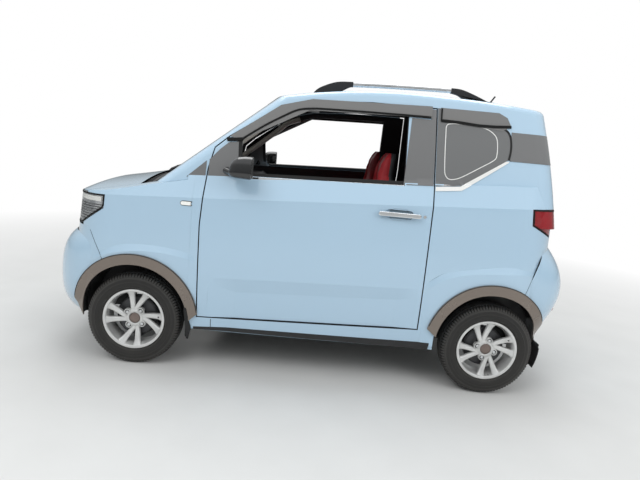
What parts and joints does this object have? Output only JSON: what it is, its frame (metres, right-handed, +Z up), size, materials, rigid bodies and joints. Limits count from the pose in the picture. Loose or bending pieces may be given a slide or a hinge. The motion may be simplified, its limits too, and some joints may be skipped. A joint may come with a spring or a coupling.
{
  "type": "two door electric microcar",
  "caption": "Small boxy two door electric car with opening doors, hood and tailgate, steered front wheels and four rolling wheels.",
  "frame": {"origin": "on the ground under the middle of the car", "axes": "+X towards the tail, -X towards the nose, -Y towards the driver's (left) side, +Z up"},
  "size_m": [2.92, 1.716, 1.6833],
  "materials": {
    "paint_blue": "gloss",
    "paint_bumper": "gloss",
    "trim_grey": "satin",
    "plastic_black": "matt",
    "gloss_black": "gloss",
    "glass_clear": "clear",
    "glass_dark": "tinted",
    "visor_smoke": "smoked",
    "lamp_clear": "clear",
    "lamp_red": "gloss",
    "rubber_black": "matt",
    "tyre_black": "matt",
    "alloy_silver": "satin",
    "steel_dark": "matt",
    "steel_painted": "satin",
    "fabric_red": "woven",
    "cabin_plastic": "grained",
    "rail_silver": "satin",
    "chrome": "gloss"
  },
  "bodies": {
    "chassis": {"side_left": "paint_blue", "side_right": "paint_blue", "roof_panel": "paint_blue", "wing_left": "paint_blue", "wing_right": "paint_blue", "bumper_front": "paint_bumper", "bumper_rear": "paint_bumper", "arch_trims": "trim_grey", "cowl_panel": "plastic_black", "windscreen": "glass_clear", "quarter_windows": "glass_dark", "headlamps": "lamp_clear", "tail_lamps": "lamp_red", "wheel_housings": "plastic_black", "mud_flaps": "rubber_black", "floor_pan": "steel_painted", "battery_pack": "steel_dark", "rear_axle": "steel_dark", "rear_springs": "steel_dark", "front_subframe": "steel_dark", "front_struts": "steel_dark", "dashboard": "cabin_plastic", "steering_wheel": "cabin_plastic", "seat_front_left": "fabric_red", "seat_front_right": "fabric_red", "seat_rear": "fabric_red", "interior_mirror": "plastic_black", "sun_visors": "cabin_plastic", "roof_rails": "rail_silver", "antenna": "plastic_black", "quarter_visors": "visor_smoke", "lower_grille": "plastic_black"},
    "door_left": {"door_left": "paint_blue", "door_handle_left": "chrome", "quarter_light_left": "glass_clear", "door_visor_left": "visor_smoke", "door_mirror_left": "gloss_black"},
    "door_right": {"door_right": "paint_blue", "door_handle_right": "chrome", "quarter_light_right": "glass_clear", "door_visor_right": "visor_smoke", "door_mirror_right": "gloss_black"},
    "hood": {"hood": "paint_blue"},
    "tailgate": {"tailgate": "paint_blue", "rear_window": "glass_dark"},
    "knuckle_left": {"knuckle_left": "steel_dark"},
    "knuckle_right": {"knuckle_right": "steel_dark"},
    "wheel_front_left": {"wheel_front_left": "alloy_silver", "tyre_front_left": "tyre_black"},
    "wheel_front_right": {"wheel_front_right": "alloy_silver", "tyre_front_right": "tyre_black"},
    "wheel_rear_left": {"wheel_rear_left": "alloy_silver", "tyre_rear_left": "tyre_black"},
    "wheel_rear_right": {"wheel_rear_right": "alloy_silver", "tyre_rear_right": "tyre_black"}
  },
  "joints": [
    {"name": "steer_left", "type": "hinge", "parent": "chassis", "child": "knuckle_left", "pos_m": [-0.942, -0.612, 0.254], "axis": [0, 0, 1], "range_deg": [-30, 30]},
    {"name": "steer_right", "type": "hinge", "parent": "chassis", "child": "knuckle_right", "pos_m": [-0.942, 0.612, 0.254], "axis": [0, 0, 1], "range_deg": [-30, 30]},
    {"name": "door_left_hinge", "type": "hinge", "parent": "chassis", "child": "door_left", "pos_m": [-0.603, -0.737, 0.95], "axis": [0, -0.0523, -0.9986], "range_deg": [0, 65]},
    {"name": "door_right_hinge", "type": "hinge", "parent": "chassis", "child": "door_right", "pos_m": [-0.603, 0.737, 0.95], "axis": [0, -0.0523, 0.9986], "range_deg": [0, 65]},
    {"name": "hood_hinge", "type": "hinge", "parent": "chassis", "child": "hood", "pos_m": [-0.95, 0, 1.018], "axis": [0, 1, 0], "range_deg": [0, 50]},
    {"name": "tailgate_hinge", "type": "hinge", "parent": "chassis", "child": "tailgate", "pos_m": [1.168, 0, 1.59], "axis": [0, -1, 0], "range_deg": [0, 72]},
    {"name": "spin_front_left", "type": "hinge", "parent": "knuckle_left", "child": "wheel_front_left", "pos_m": [-0.942, -0.645, 0.254], "axis": [0, 1, 0], "continuous": true},
    {"name": "spin_front_right", "type": "hinge", "parent": "knuckle_right", "child": "wheel_front_right", "pos_m": [-0.942, 0.645, 0.254], "axis": [0, 1, 0], "continuous": true},
    {"name": "spin_rear_left", "type": "hinge", "parent": "chassis", "child": "wheel_rear_left", "pos_m": [0.998, -0.645, 0.254], "axis": [0, 1, 0], "continuous": true},
    {"name": "spin_rear_right", "type": "hinge", "parent": "chassis", "child": "wheel_rear_right", "pos_m": [0.998, 0.645, 0.254], "axis": [0, 1, 0], "continuous": true}
  ],
  "couplings": [
    {"joint": "steer_right", "follows": "steer_left", "ratio": 1}
  ]
}
